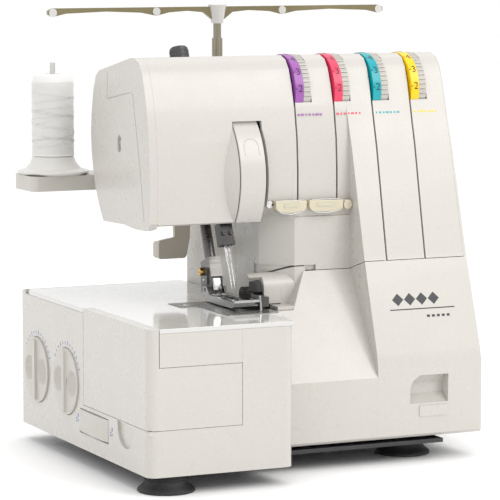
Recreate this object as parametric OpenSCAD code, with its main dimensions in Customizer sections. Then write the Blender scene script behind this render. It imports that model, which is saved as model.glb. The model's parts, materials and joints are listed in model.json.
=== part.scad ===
// Four-thread serger (overlock) sewing machine, millimetres, +Z up.
// Origin: on the table, under the middle of the machine with its thread
// stand. -Y is the operator's side, -X the needle's side.

/* [Covers] */
// wall thickness of the moulded covers
wall = 3; // [2.6:0.1:3.2]
// depth of the scored panel lines
score = 0.6; // [0.3:0.1:1]
// thickness of the steel base plate
plate_t = 3; // [2.5:0.1:3]

/* [Feet] */
// radius of the suction foot's lip
foot_lip_r = 20; // [17:0.5:21]
// radius of the suction foot's neck
foot_neck_r = 14.5; // [12:0.5:15]

/* [Controls] */
// radius of the four tension dials
tension_r = 26; // [25:0.25:27]
// radius of the two round dials on the left side
side_dial_r = 24; // [20:0.5:24.5]
// radius of the handwheel
handwheel_r = 38; // [34:0.5:42]
// radius of the foot pressure knob
pressure_r = 6.8; // [5.5:0.1:8]

/* [Thread stand] */
// radius of the thread wound on the spool
thread_r = 15.6; // [12:0.2:22]
// height of the thread wound on the spool
thread_h = 54; // [40:1:56]
// radius of the spool cushion's rim
cushion_r = 26.5; // [20:0.5:27]

/* [Needle and foot] */
// radius of each needle
needle_r = 0.45; // [0.35:0.05:0.6]
// lean of the needle bar and presser bar from upright, degrees
lean = 21; // [20.6:0.1:21.4]

/* [Hidden] */
$fn = 48;
eps = 0.4;
base_z = 12;
base_top = base_z + plate_t;
bed_z = 113;
block_l = -138;
block_r = -30;
block_f = -125;
back_y = 125;
cut_y = 18;
side_x = 134;
crease_x = 54;
column_x = -9.6;
head_l = -95;
shaft_y = 20;
shaft_z = 72;
shaft_r = 6;
motor_y = 82;
motor_z = 47;
pulley_big = 30;
pulley_small = 11;
belt_gap = 0.3;
belt_t = 2;
pivot_y = -79;
pivot_z = 22;
hinge_pin_r = 1.5;
fit = 0.05;
dial_y = -8;
dial_z = 263;
axle_r = 3;
dial_x = [12.4, 43.4, 74.4, 105.4];
take_y = 6.7;
take_z = 203.5;
take_r = 56;
take_face_r = 45.6;
needle_x = -40;
needle_y0 = -50.8;
presser_x = -41;
presser_y0 = -19.3;
pole_x = 13;
pole_y = 101;
tray_z = 188;
tray_t = 11;
spool_dx = [-132.4, -50.2, 53.2, 135.2];
lever_x = -132;
side_dial_y = [28, 87.5];
side_dial_z = 56.5;
lever_y = -25;
well_y = 16.8;
well_z = 226.5;
switch_x = 133;
switch_y = 89;
knife_y = -28;
knife_z = 119.5;
seam_slope = -0.304;
mid_x = 14.4;

// profile in Y and Z, drawn from x0 to x1
module yz(x0, x1) {
  translate([x0, 0, 0])
    rotate([90, 0, 90])
      linear_extrude(x1 - x0) children();
}

// profile in X and Z, drawn from y0 to y1
module xz(y0, y1) {
  translate([0, y1, 0])
    rotate([90, 0, 0])
      linear_extrude(y1 - y0) children();
}

module box(x0, x1, y0, y1, z0, z1) {
  translate([x0, y0, z0]) cube([x1 - x0, y1 - y0, z1 - z0]);
}

module rod_x(r, x0, x1, y, z) {
  translate([x0, y, z]) rotate([0, 90, 0]) cylinder(r = r, h = x1 - x0);
}

module rod_y(r, y0, y1, x, z) {
  translate([x, y1, z]) rotate([90, 0, 0]) cylinder(r = r, h = y1 - y0);
}

module rod_z(r, z0, z1, x, y) {
  translate([x, y, z0]) cylinder(r = r, h = z1 - z0);
}

// frame leaning back about X, with its origin on the bed at x, y
module leaning(x, y) {
  translate([x, y, bed_z]) rotate([-lean, 0, 0]) children();
}

function arc(cx, cy, r, a0, a1, n) =
  [for (i = [0:n]) [cx + r * cos(a0 + (a1 - a0) * i / n),
                    cy + r * sin(a0 + (a1 - a0) * i / n)]];

function rounded(x0, x1, y0, y1, r) = concat(
  arc(x1 - r, y1 - r, r, 0, 90, 6), arc(x0 + r, y1 - r, r, 90, 180, 6),
  arc(x0 + r, y0 + r, r, 180, 270, 6), arc(x1 - r, y0 + r, r, 270, 360, 6));

// outlines of the body seen from the side, as Y and Z
front_low = [[-85, 17], [-86.5, 69], [-84.5, 79], [-63.5, 147],
  [-43.5, 223], [-38, 240]];
top_line = [[-34.4, 252], [-30, 268], [-25.5, 279], [-20, 285.6],
  [-12, 288.5], [-4, 288.2], [55, 277], [61.6, 272.8], [66.5, 262],
  [70, 246], [71.7, 232]];
head_outline = concat([[-39.5, 173], [-39.5, 208], [-38.2, 230]], top_line,
  [[70.4, 217], [67.5, 205], [63, 191], [55.5, 178], [50, 172],
   [-38, 172]]);
cap_outline = concat([[-39.5, 174], [-39.5, 208], [-38.2, 230]], top_line,
  [[70.4, 217], [67.5, 205], [63, 191], [55.5, 178], [48, 168.4],
   [8, 169.4], [-12, 168], [-30, 168.4], [-37.5, 170.5]]);
back_line = [[74, 200], [80, 188], [104, 168], [107, 162], [107, 119],
  [110, 113.5], [118, 111], [back_y, 104], [back_y, base_top]];
right_outline = concat(front_low, top_line, back_line);
column_outline = [[-45, 100], [-45, 171], [-39.6, 175], [-39.6, 208],
  [-38.3, 226], [71, 226], [74, 200], [80, 188], [104, 168], [107, 162],
  [107, 100]];

// moves a node from the body's own middle to the origin
module placed() {
  translate([-mid_x, 0, 0]) children();
}

module inset(t) {
  offset(delta = -t) children();
}

// everything above the parting line of the looper cover
module above_seam(gap) {
  yz(-150, 150)
    polygon([[-140, 136 + seam_slope * -99.5 + gap],
      [60, 136 + seam_slope * 100.5 + gap], [60, 340], [-140, 340]]);
}

module casing_outer() {
  yz(head_l, side_x) polygon(head_outline);
  yz(crease_x, side_x) polygon(right_outline);
  intersection() {
    translate([0, 0, 100]) linear_extrude(126)
      polygon([[column_x, -22], [10, -40.5], [crease_x + 4, -40.5],
        [crease_x + 4, 107], [column_x, 107]]);
    yz(-20, 60) polygon(column_outline);
  }
  yz(-29.7, crease_x + 2)
    polygon([[60, base_top], [60, 109.8], [118, 109.8], [back_y, 104],
      [back_y, base_top]]);
}

module casing_inner() {
  yz(head_l - 1, side_x + 1) inset(wall) polygon(head_outline);
  yz(crease_x + wall, side_x + 1)
    inset(wall) polygon(concat([[-85, -20]], front_low, top_line,
      [[74, 200], [80, 188], [104, 168], [107, 162], [107, 119],
       [110, 113.5], [118, 111], [back_y, 104], [back_y, -20]]));
  intersection() {
    translate([0, 0, 90]) linear_extrude(120)
      polygon([[column_x + wall, -20.6], [11, -37.5],
        [crease_x + 8, -37.5], [crease_x + 8, 104],
        [column_x + wall, 104]]);
    yz(-20, 70) inset(wall)
      polygon(concat([[-60, 60], [-60, 230]],
        [[69, 230], [74, 200], [80, 188], [104, 168], [107, 162],
         [107, 60]]));
  }
  yz(-40, crease_x + 8)
    polygon([[10, 0], [10, 109.8 - wall], [116.7, 109.8 - wall],
      [back_y - wall, 102.6], [back_y - wall, 0]]);
}

module casing_shell() {
  difference() {
    casing_outer();
    casing_inner();
  }
}

// slanted plane that gives the right side its draft
module side_draft() {
  translate([138.6, 0, 0]) rotate([0, -0.84, 0])
    translate([0, -200, -60]) cube([60, 400, 420]);
}

module base_plate() {
  color("#26272a") difference() {
    union() {
      translate([0, 0, base_z]) linear_extrude(plate_t)
        polygon([[-132, -119], [-36, -119], [-36, -84], [108, -84],
          [108, -36], [131, -36], [131, 119], [-132, 119]]);
      for (x = [24, 92]) {
        rod_x(2.8, x, x + 6, pivot_y, pivot_z);
        box(x, x + 6, -77.6, -70, pivot_z - 1.4, pivot_z + 1.4);
        box(x, x + 6, -73, -70, base_top - eps, pivot_z);
      }
    }
    for (x = [24, 92])
      rod_x(hinge_pin_r + fit, x - 1, x + 7, pivot_y, pivot_z);
  }
}

foot_at = [[-118, -107], [93, -50], [-72, 98], [104, 98]];

module suction_feet() {
  color("#1b1b1c") for (p = foot_at)
    translate([p[0], p[1], 0]) rotate_extrude()
      polygon([[0, 4.5], [10, 3.6], [foot_lip_r - 3.4, 0.4],
        [foot_lip_r - 2.6, 0], [foot_lip_r - 0.6, 0], [foot_lip_r, 0.5],
        [foot_lip_r - 0.6, 2],
        [foot_neck_r + 1.2, 5], [foot_neck_r, 7.4],
        [foot_neck_r, base_z], [0, base_z]]);
}

module lower_cover() {
  color("#e9e8e4") difference() {
    union() {
      difference() {
        translate([0, 0, base_z + 0.4]) linear_extrude(bed_z - base_z - 0.4)
          polygon(rounded(block_l, block_r, block_f, back_y, 7));
        translate([0, 0, 0]) linear_extrude(120)
          polygon(rounded(block_l + wall, block_r - wall, block_f + wall,
            back_y - wall, 4));
      }
      box(block_l + 1, -66, block_f + 1, -2, 41, 44);
      box(-69, -66, block_f + 1, -2, 41, 109.8);
      // boss for the needle plate's screw
      rod_z(3.4, 98, 109.8, plate_screw_at[0][0], plate_screw_at[0][1]);
      box(block_l + 1, -66, -5, -2, 41, 109.8);
      // rolled edge at the back
      intersection() {
        difference() {
          box(block_l + 1, block_r - 1, 100, back_y, 100, bed_z);
          rod_x(9, block_l, block_r, back_y - 12, bed_z - 12);
          box(block_l, block_r, 90, back_y - 12, 90, bed_z - wall);
          box(block_l, block_r, 90, back_y - 3, 90, bed_z - 12);
        }
        translate([0, 0, 90]) linear_extrude(30)
          polygon(rounded(block_l, block_r, block_f, back_y, 7));
      }
      // cups behind the two round dials
      for (y = side_dial_y)
        rod_x(side_dial_r + 3, -137, -126, y, side_dial_z);
    }
    box(block_l - 2, -69, block_f - 2, -5, 44, 120);
    box(block_r - 6, block_r + 2, -84.4, 105, 0, 120);
    box(block_r - 6, block_r + 2, 105, back_y - wall, 0, 101);
    box(block_l - 1, block_r + 1, -10, 112.2, 109.8, 120);
    box(-69, block_r + 1, block_f - 1, 0, 109.8, 120);
    // the back edge is rounded over
    difference() {
      box(block_l - 1, block_r + 1, back_y - 12, back_y + 1, bed_z - 12, 120);
      rod_x(12, block_l - 2, block_r + 2, back_y - 12, bed_z - 12);
    }
    for (y = side_dial_y) {
      rod_x(side_dial_r + fit + 0.3, block_l - 1, -129, y, side_dial_z);
      rod_x(5 + fit, block_l - 1, -120, y, side_dial_z);
    }
    box(block_l - 1, block_l + wall + 1, -52.2, 2.2, 24.4, 41 + 0.2);
    rod_z(1.9 + fit, 102, 111, plate_screw_at[0][0], plate_screw_at[0][1]);
    // finger notch under the extension
    translate([0, 0, -2]) yz(block_l - 1, block_l + 2)
      polygon(concat([[-69, 46]], arc(-84, 43, 15, 180, 360, 16)));
    for (p = foot_at) rod_z(foot_neck_r + 1, 0, base_z + 0.6, p[0], p[1]);
  }
  color("#e9e8e4") rod_z(1.5, 23, 41.2, lever_x, lever_y);
}

module free_arm() {
  color("#e4e3df") difference() {
    box(-130, -69, block_f, -5.2, 87, 109.8);
    box(-130 + wall, -68, block_f + wall, -5.2 - wall, 87 + wall, 120);
  }
}

module cloth_plate() {
  color("#f0efec") difference() {
    translate([0, 0, 109.8]) linear_extrude(bed_z - 109.8)
      polygon([[-130, -125], [block_r, -125], [block_r, -85.4],
        [-20.6, -85.4], [-20.6, -58], [-10.2, -24], [-10.2, 118],
        [-29, 118], [-30.4, 112], [-134, 112], [-137, 108],
        [-138, 104], [-138, -4.8], [-130, -4.8]]);
    box(-61.2, -19, -84.4, -7.6, 100, 120);
    box(-74.2, -60, -32.4, -7.6, 100, 120);
  }
}

feed_x = [-46.2, -36.6];
plate_screw_at = [[-65.4, -20], [-25, -20]];

module needle_plate() {
  color("#8b8d90") difference() {
    translate([0, 0, bed_z - 2.4]) linear_extrude(2.8)
      polygon([[-61, -84], [-23, -84], [-21, -80], [-21, -66],
        [-29.6, -66], [-29.6, -40], [-21, -40], [-21, -8], [-74, -8],
        [-74, -32], [-61, -32]]);
    for (x = feed_x) box(x - 0.5, x + 2.1, -46.5, -12, 100, 120);
    box(-43.6, -37.4, -55.5, -48.5, 100, 120);
    for (p = plate_screw_at) {
      rod_z(2.1, 100, 112.4, p[0], p[1]);
      rod_z(3.6, 112.2, 120, p[0], p[1]);
    }
  }
  color("#b9bbbd") for (p = plate_screw_at)
    difference() {
      union() {
        rod_z(3.3, 112.25, 113.2, p[0], p[1]);
        rod_z(1.9, 104, 112.5, p[0], p[1]);
      }
      box(p[0] - 4, p[0] + 4, p[1] - 0.4, p[1] + 0.4, 112.7, 114);
    }
}

module free_arm_extension() {
  color("#ecebe7") difference() {
    union() {
      translate([0, 0, 44.3]) linear_extrude(bed_z - 44.3) intersection() {
        polygon(rounded(block_l, block_r, block_f, back_y, 7));
        translate([block_l - 1, block_f - 1])
          square([8.6, -5.3 - block_f + 1]);
      }
      box(-131, -69.3, block_f, -5.3, 44.3, 86.6);
    }
    box(block_l + wall, -60, block_f + wall, -5.3 - wall, 44.3 + wall,
      86.7);
    box(block_l + wall, -130.3, block_f + wall, -5.3 - wall, 80,
      bed_z - wall);
    box(-130.4, -60, block_f - 1, -5, 86.6, 120);
  }
}

module looper_hinge_rod() {
  color("#9a9c9e") rod_x(hinge_pin_r, -22, 129, pivot_y, pivot_z);
}

// lower front wall of the looper cover, seen from the side
module cover_wall(x0, x1) {
  yz(x0, x1) polygon([[-83, 17.5], [-85, 19.5], [-86.5, 69], [-84.5, 79],
    [-60, 158.3], [-57, 158.3], [-81.5, 78.6], [-83.5, 69], [-82, 17.5]]);
}

module scoop_wall(x0, x1) {
  yz(x0, x1) polygon([[-83, 17.5], [-85, 19.5], [-86.2, 62.5],
    [-30, 153], [-27, 151], [-83.2, 61], [-82, 17.5]]);
}

module looper_cover() {
  color("#ecebe7") difference() {
    union() {
      difference() {
        union() {
          cover_wall(crease_x, side_x + 4);
          scoop_wall(-20, crease_x + 2.6);
          yz(crease_x, crease_x + 2.6)
            polygon([[-85.6, 60], [-86.4, 69], [-84.4, 79], [-60, 158],
              [-40, 158], [-33, 148], [-83, 60]]);
          yz(side_x + 0.3, side_x + 6)
            polygon([[-83, 17.5], [-85, 19.5], [-86.5, 69],
              [-84.5, 79], [-60, 158.3], [-56, 158.3], [-56, 22],
              [-58, 17.5]]);
        }
        above_seam(-0.5);
        // the scoop steps back beside the knife, along a slanted edge
        intersection() {
          translate([12, 0, 127]) rotate([0, 31, 0])
            translate([-100, -120, -80]) cube([100, 110, 160]);
          box(-60, 60, -120, -20, 110.2, 200);
        }
      }
      // front wall and cheek under the end of the cloth plate
      yz(-29.7, -20 + eps) polygon([[-83, 17.5], [-85, 19.5],
        [-85, 109.6], [-82, 109.6], [-82, 17.5]]);
      yz(-20, -17.5) polygon([[-86.2, 62.5], [-85, 62.5], [-85, 109.6],
        [-58.5, 109.6], [-82, 61]]);
      box(-9.8, 4, -55, -41, 110.4, bed_z);
      // hood over the knife shaft
      yz(-14, 10.4) polygon(concat([[-41, 113.6], [-38.4, 113.6]],
        arc(-30, 124, 8.2, 180, 78, 16), arc(-30, 124, 10.8, 78, 180, 16)));
      // lip of the hood over the knife's knob
      yz(-24, -13.6) polygon(concat(arc(-30, 124, 8.2, 129, 78, 8),
        arc(-30, 124, 10.8, 78, 129, 8)));
      // fence that closes the casing's notch round the hood
      intersection() {
        translate([0, 0, 118]) linear_extrude(21)
          polygon([[-9.2, -21.9], [10.2, -40.3], [18.6, -40.3],
            [18.6, -38.2], [11, -38.2], [-7.6, -20.6]]);
        rod_x(123.3, -20, 30, pivot_y, pivot_z);
        yz(-20, 30) polygon(concat([[-41, 118], [-41, 139], [-20.5, 139],
          [-20.5, 126], [-26.5, 126]], arc(-30, 124, 9.5, 78, 180, 16),
          [[-39.5, 118]]));
      }
      // closing wall between the hood and the scoop
      intersection() {
        translate([12, 0, 127]) rotate([0, 31, 0])
          translate([-0.2, -90, -40]) cube([2.6, 80, 90]);
        yz(-20, 40) polygon([[-56.4, 110.4], [-38.4, 139.4],
          [-38.4, 110.4]]);
        difference() {
          box(-20, 40, -90, 0, 110.4, 160);
          above_seam(-0.5);
        }
      }
      box(-1, 20, -41, -38.4, 110.4, 124);
      for (x = [2, 62, 114])
        difference() {
          rod_x(3.6, x, x + 8, pivot_y, pivot_z);
          rod_x(hinge_pin_r + fit, x - 1, x + 9, pivot_y, pivot_z);
        }
      // pocket behind the finger recess
      box(77.5, 113, -84, -74, 36, 64.5);
    }
    // finger recess
    difference() {
      yz(80, 110.6) polygon([[-95, 42], [-95, 62], [-84, 62],
        [-79, 60], [-76.5, 55], [-77, 48], [-84, 42]]);
      translate([0, -60, 0]) rotate([90, 0, 0]) linear_extrude(50)
        polygon([[70, 70], [70, 40], [80, 40], [80, 53], [82, 58],
          [86, 61.2], [90, 62.5], [90, 70]]);
    }
    for (x = [2, 62, 114])
      rod_x(hinge_pin_r + fit, x - 1, x + 9, pivot_y, pivot_z);
    side_draft();
  }
  // raised panel under the finger recess
  color("#ecebe7") yz(87.6, 110)
    polygon([[-86.05, 32.2], [-85.3, 32.2], [-85.3, 40], [-86.3, 40]]);
}

module dial_slots() {
  for (i = [0:3]) {
    yz(dial_x[i] + 0.9, dial_x[i] + 14.6)
      polygon([[-60, 260.8], [-20, 260.8], [-14, 250], [14, 250],
        [14, 310], [-60, 310]]);
    rod_x(tension_r + 0.5, dial_x[i] + 0.9, dial_x[i] + 14.6, dial_y, dial_z);
  }
  // thread slots
  box(dial_x[0], dial_x[0] + 1.3, -60, -12, 187, 310);
  box(dial_x[1], dial_x[1] + 1.3, -60, -12, 187, 310);
  for (i = [2, 3])
    translate([dial_x[i], -80, 262]) rotate([0, 1.6, 0])
      translate([0, 0, -140]) cube([1.3, 66, 190]);
}

module front_casing() {
  color("#efeeeb") {
    // sloped ceiling between the take-up window and the column
    yz(-13.9, 9.9) polygon([[-39.4, 184.4], [-18, 171.9], [-17, 175.2],
      [-36.4, 187]]);
    // chamfer wall of the column under that ceiling
    intersection() {
      translate([0, 0, 139.8]) linear_extrude(47.2)
        polygon([[-9.6, -22], [10, -40.5], [12, -37.6], [-6.6, -20.2]]);
      yz(-20, 20) polygon([[-60, 130], [-10, 130], [-10, 170],
        [-18, 173], [-39.4, 185.6], [-39.5, 176], [-60, 176]]);
    }
  }
  // strip behind the room the cover slides into
  color("#efeeeb") box(18.8, 28, -38, -36, 135.9, 141);
  // ceiling over the hood, following the path it swings along
  color("#efeeeb") difference() {
    translate([0, 0, 124]) linear_extrude(18.4)
      polygon([[-8.6, -21.8], [10.4, -39.7], [20.4, -39.7], [20.4, -14],
        [-8.6, -14]]);
    rod_x(124.6, -20, 30, pivot_y, pivot_z);
  }
  color("#efeeeb") difference() {
    union() {
      intersection() {
        casing_shell();
        box(-200, 200, -200, cut_y - 0.1, 0, 400);
        union() {
          above_seam(0);
          box(column_x - 3, column_x + wall, -14, 40, 90, 400);
        }
      }
      // cheeks that swell out to the take-up lever on both sides
      intersection() {
        union() {
          translate([-45, take_y, take_z]) rotate([0, 90, 0])
            cylinder(r1 = take_face_r, r2 = take_r, h = 8.4);
          translate([-13.9, take_y, take_z]) rotate([0, 90, 0])
            cylinder(r1 = take_r - 0.6, r2 = take_face_r, h = 6.4);
        }
        box(-50, 0, -60, -37, 172.4, 260);
      }
    }
    dial_slots();
    // window of the take-up lever
    box(-36.6, -13.9, -70, -22, 160, 243.6);
    intersection() {
      yz(-13.9, 9.9) polygon([[-48, 160], [-48, 184.4], [-39.3, 184.4],
        [-18, 171.95], [-18, 176], [-10, 176], [-10, 160]]);
      translate([0, 0, 150]) linear_extrude(50)
        polygon([[-13.9, -48], [9.9, -48], [9.9, -40.8], [-9.8, -22],
          [-9.8, -10], [-13.9, -10]]);
    }
    // notch over the hood of the looper cover
    box(column_x - 2, 27, -60, -14, 90, 139.8);
    // opening for the needle bar and the presser bar
    box(-56, -19, -36, 11, 168, 176);
    rod_y(2.7, -43, -36, -10.4, 184.4);
  }
}

module rear_casing() {
  color("#eae9e5") difference() {
    intersection() {
      casing_shell();
      box(-200, 200, cut_y + 0.1, 200, 0, 400);
    }
    // slot for the presser foot lifter's shaft
    rod_y(4 + fit, 40, 80, -25, 180);
    // pressure knob
    leaning(presser_x, presser_y0) rod_z(4.6, 100, 220, 0, 0);
    // cloth plate edge
    box(-40, column_x - 0.3, 0, 200, 109.7, 118);
    for (i = [0:7]) box(20 + i * 9, 24 + i * 9, 110, 140, 40, 84);
  }
}

module end_cap() {
  color("#dedbd5") difference() {
    union() {
      difference() {
        yz(-101, head_l) polygon(cap_outline);
        yz(-99, head_l + 1) inset(wall) polygon(cap_outline);
      }
      rod_x(7, -99.5, -95.4, well_y, well_z);
    }
    // oval screw well
    for (dz = [-3, 3]) rod_x(3.2, -102, -98.2, well_y, well_z + dz);
    box(-102, -98.2, well_y - 3.2, well_y + 3.2, well_z - 3, well_z + 3);
    rod_x(1.6, -102, -90, well_y, well_z);
    // scored panel lines
    yz(-102, -101 + score) polygon([[39.6, 277], [38.8, 277],
      [38.8, 257.8], [-6.4, 264.6], [-6.4, 263.8], [39.6, 257]]);
    yz(-102, -101 + score) polygon([[-8.9, 263.6], [-8.1, 263.6],
      [-14.3, 239.8], [-19.9, 217.6], [-28.4, 174.6], [-29.2, 174.6],
      [-20.7, 217.6], [-15.1, 239.8]]);
  }
  color("#9a9c9e") difference() {
    union() {
      rod_x(2.7, -99.6, -98.2, well_y, well_z);
      rod_x(1.6, -98.4, -92, well_y, well_z);
    }
    box(-101, -99, well_y - 0.35, well_y + 0.35, well_z - 2, well_z + 2);
    box(-101, -99, well_y - 2, well_y + 2, well_z - 0.35, well_z + 0.35);
  }
}

module right_cover() {
  color("#eae9e5") difference() {
    yz(side_x + 0.1, 142) polygon(right_outline);
    intersection() {
      box(100, 160, -120, -55.6, 0, 200);
      difference() {
        box(100, 160, -120, -50, 0, 200);
        above_seam(0);
      }
    }
    side_draft();
    rod_x(9, 120, 150, shaft_y, shaft_z);
    box(120, 150, 72.4, 105.6, 34.4, 57.6);
    box(120, 150, 76.4, 101.6, 66.4, 81.6);
    rod_z(1.5 + fit, 64.3, 83.7, switch_x, switch_y);
    // cooling slots
    for (i = [0:6]) box(120, 150, 44, 96, 118 + i * 7, 121 + i * 7);
  }
}

module main_frame() {
  color("#9b9d9e") difference() {
    union() {
      box(-60, 112, -5, 50, base_top, base_top + 6);
      for (x = [-60, -8, 104]) box(x, x + 7, -5, 45, base_top, 95);
      box(26, 50, 22, 50, base_top, 218);
      box(-32, 3, -22, -4.5, base_top, 57);
      box(-11, 3, -22, -4.5, 50, 68);
      box(14, 22, -37, -5, base_top, base_top + 6);
      box(14, 22, -37, -19, base_top, 126);
      // post under the cloth plate
      box(-60, -53, 30, 45, 90, 109.8);
    }
    rod_x(shaft_r + fit, -70, 120, shaft_y, shaft_z);
    rod_y(4 + fit, -30, 0, -25, 48);
    rod_y(4 + fit, -30, 0, -4, 60);
    rod_x(3.5 + fit, 10, 30, knife_y, knife_z);
    for (x = [-44, 12, 60]) box(x, x + 34, 4, 36, 0, 24.1);
  }
}

module upper_frame() {
  color("#9b9d9e") difference() {
    union() {
      box(20, 56, 22, 52, 218, 236);
      box(-60, 56, 22, 34, 218, 236);
      // bearing block of the needle bar and presser bar
      intersection() {
        leaning(needle_x, needle_y0) box(-12, 4, -7, 36, 106, 130);
        box(-80, 0, -33, 60, 190, 262);
      }
      intersection() {
        leaning(needle_x, needle_y0) box(-12, 4, -7, 36, 78, 90);
        box(-80, 0, -30, 60, 178, 262);
      }
      leaning(needle_x, needle_y0) box(-12, -6.5, 6, 24, 80, 120);
    }
    leaning(needle_x, needle_y0) rod_z(3.2 + fit, 0, 200, 0, 0);
    leaning(presser_x, presser_y0) rod_z(4 + fit, 0, 200, 0, 0);
  }
}

module main_shaft() {
  color("#b4b6b8") rod_x(shaft_r, -64, 160, shaft_y, shaft_z);
}

module shaft_eccentrics() {
  color("#8d8f92") for (e = [[-48, 3], [-26, -3], [10, 3]])
    difference() {
      rod_x(14, e[0], e[0] + 9, shaft_y + e[1], shaft_z);
      rod_x(shaft_r, e[0] - 1, e[0] + 10, shaft_y, shaft_z);
    }
}

module drive_pulley() {
  color("#3a3b3d") difference() {
    rod_x(pulley_big, 116, 128, shaft_y, shaft_z);
    rod_x(shaft_r, 115, 129, shaft_y, shaft_z);
    difference() {
      rod_x(25, 122, 129, shaft_y, shaft_z);
      rod_x(11, 121, 130, shaft_y, shaft_z);
    }
  }
}

module handwheel() {
  color("#e2e1dd") difference() {
    union() {
      rod_x(handwheel_r, 144, 161, shaft_y, shaft_z);
      rod_x(8, 131, 146, shaft_y, shaft_z);
      translate([161, shaft_y, shaft_z]) rotate([0, 90, 0])
        cylinder(r1 = handwheel_r - 1, r2 = handwheel_r - 4, h = 2);
    }
    rod_x(shaft_r, 120, 160.01, shaft_y, shaft_z);
    difference() {
      rod_x(handwheel_r - 7, 156, 170, shaft_y, shaft_z);
      rod_x(12, 150, 171, shaft_y, shaft_z);
    }
    rod_x(handwheel_r - 5, 143, 150, shaft_y, shaft_z);
  }
  color("#e2e1dd") difference() {
    rod_x(8, 146, 151, shaft_y, shaft_z);
    rod_x(shaft_r, 120, 170, shaft_y, shaft_z);
  }
}

module motor() {
  color("#5f6164") difference() {
    union() {
      rod_x(27, 22, 106, motor_y, motor_z);
      rod_x(12, 18, 112, motor_y, motor_z);
      box(34, 94, motor_y - 17, motor_y + 17, base_top, motor_z - 12);
    }
    rod_x(4 + fit, 10, 120, motor_y, motor_z);
    for (i = [0:5]) box(38 + i * 9, 42 + i * 9, 50, 114, 60, 90);
  }
}

module motor_shaft() {
  color("#b4b6b8") {
    rod_x(4, 14, 128.4, motor_y, motor_z);
    rod_x(pulley_small, 117, 127, motor_y, motor_z);
  }
}

module drive_belt() {
  color("#222325") yz(117.5, 126.5) difference() {
    hull() {
      translate([shaft_y, shaft_z])
        circle(r = pulley_big + belt_gap + belt_t);
      translate([motor_y, motor_z])
        circle(r = pulley_small + belt_gap + belt_t);
    }
    hull() {
      translate([shaft_y, shaft_z]) circle(r = pulley_big + belt_gap);
      translate([motor_y, motor_z]) circle(r = pulley_small + belt_gap);
    }
  }
}

module needle_bar() {
  color("#aeb0b3") leaning(needle_x, needle_y0) rod_z(3.2, 58, 150, 0, 0);
}

module needle_clamp() {
  color("#2c2b2c") leaning(needle_x, needle_y0) difference() {
    union() {
      box(-5.2, 4.2, -4.8, 4.8, 46, 62);
      box(-5.2, 4.2, -6, -4, 45.2, 48.4);
    }
    rod_z(3.2, 58, 70, 0, 0);
    for (x = [-1.2, 1.1]) rod_z(1, 40, 56, x, 0);
    for (x = [-3.3, 2.3]) rod_y(1.05, -9, -1.2, x, 54);
  }
}

module needles() {
  color("#c9cbcd") leaning(needle_x, needle_y0) for (x = [-1.2, 1.1]) {
    rod_z(1, 36, 55.8, x, 0);
    translate([x, 0, 30]) cylinder(r1 = needle_r, r2 = 1, h = 6);
    rod_z(needle_r, 18, 30.2, x, 0);
    translate([x, 0, 13.6]) cylinder(r1 = 0.1, r2 = needle_r, h = 4.4);
  }
}

module needle_screws() {
  color("#c2a35a") leaning(needle_x, needle_y0) for (x = [-3.3, 2.3])
    difference() {
      union() {
        rod_y(1, -4.9, -1.4, x, 54);
        rod_y(1.6, -6.2, -4.85, x, 54);
      }
      box(x - 3, x + 3, -7, -5.7, 53.75, 54.25);
    }
}

module presser_bar() {
  color("#77797c") leaning(presser_x, presser_y0)
    rod_z(4, 20, 162, 0, 0);
}

module presser_spring() {
  color("#a8aaad") leaning(presser_x, presser_y0) for (i = [0:7])
    translate([0, 0, 136 + i * 3.6]) rotate_extrude()
      translate([5.6, 0]) circle(r = 0.9, $fn = 16);
}

module foot_holder() {
  color("#6d6e70") {
    difference() {
      union() {
        leaning(presser_x, presser_y0) box(-4.1, 5.2, -6, 9, 18.4, 33);
        box(-45, -35.6, -17, -0.6, 119.4, 132);
        box(-46.2, -44.2, -13, -2.4, 125.4, 137.4);
      }
      leaning(presser_x, presser_y0) rod_z(4, 20, 60, 0, 0);
      rod_x(1.6, -50, -44.9, -6, 134.5);
    }
    rod_x(1.5, -47.6, -31, -12, 122.4);
  }
}

module foot_screw() {
  color("#b98f3e") {
    difference() {
      rod_x(2.9, -49.2, -46.25, -6, 134.5);
      box(-51, -48.5, -9.5, -2.5, 134.1, 134.9);
    }
    rod_x(1.5, -46.6, -45.1, -6, 134.5);
  }
}

module presser_foot() {
  color("#b7babd") difference() {
    union() {
      yz(-47.4, -28) polygon([[-64, 118.6], [-62, 115.6], [-58, 114.4],
        [-18, 114.4], [-9, 117.4], [-9, 119], [-18, 116.8],
        [-57, 116.8], [-60.5, 118], [-62.6, 120.2]]);
      yz(-47.4, -45.4) polygon([[-60, 115.6], [-18, 115.6],
        [-8.6, 119], [-8.6, 124.6], [-15.4, 124.8], [-20, 119.6],
        [-60.5, 118.6]]);
      yz(-34.8, -32.8) polygon([[-60, 115.6], [-18, 115.6],
        [-8.6, 119], [-8.6, 124.6], [-15.4, 124.8], [-20, 119.6],
        [-60.5, 118.6]]);
    }
    rod_x(1.5 + fit, -50, -30, -12, 122.4);
    box(-43, -37.2, -60.6, -47, 110, 122);
    box(-45.2, -35.3, -14, -2, 116, 130);
  }
}

module presser_lifter() {
  color("#cfc8bb") {
    xz(80.4, 84) polygon(concat(arc(-25, 180, 7, 0, 180, 12),
      [[-31, 150], [-43, 148], [-44, 146], [-44, 135.5],
       [-42.5, 134], [-23, 134], [-21.4, 135.5], [-18.6, 150]]));
    xz(84 - eps, 92) polygon([[-43.8, 135.5], [-42.5, 134.2],
      [-24, 134.2], [-22.6, 135.5], [-22.6, 145], [-24, 146.6],
      [-42.5, 146.6], [-43.8, 145]]);
    rod_y(4, 40, 80.5, -25, 180);
  }
}

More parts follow.
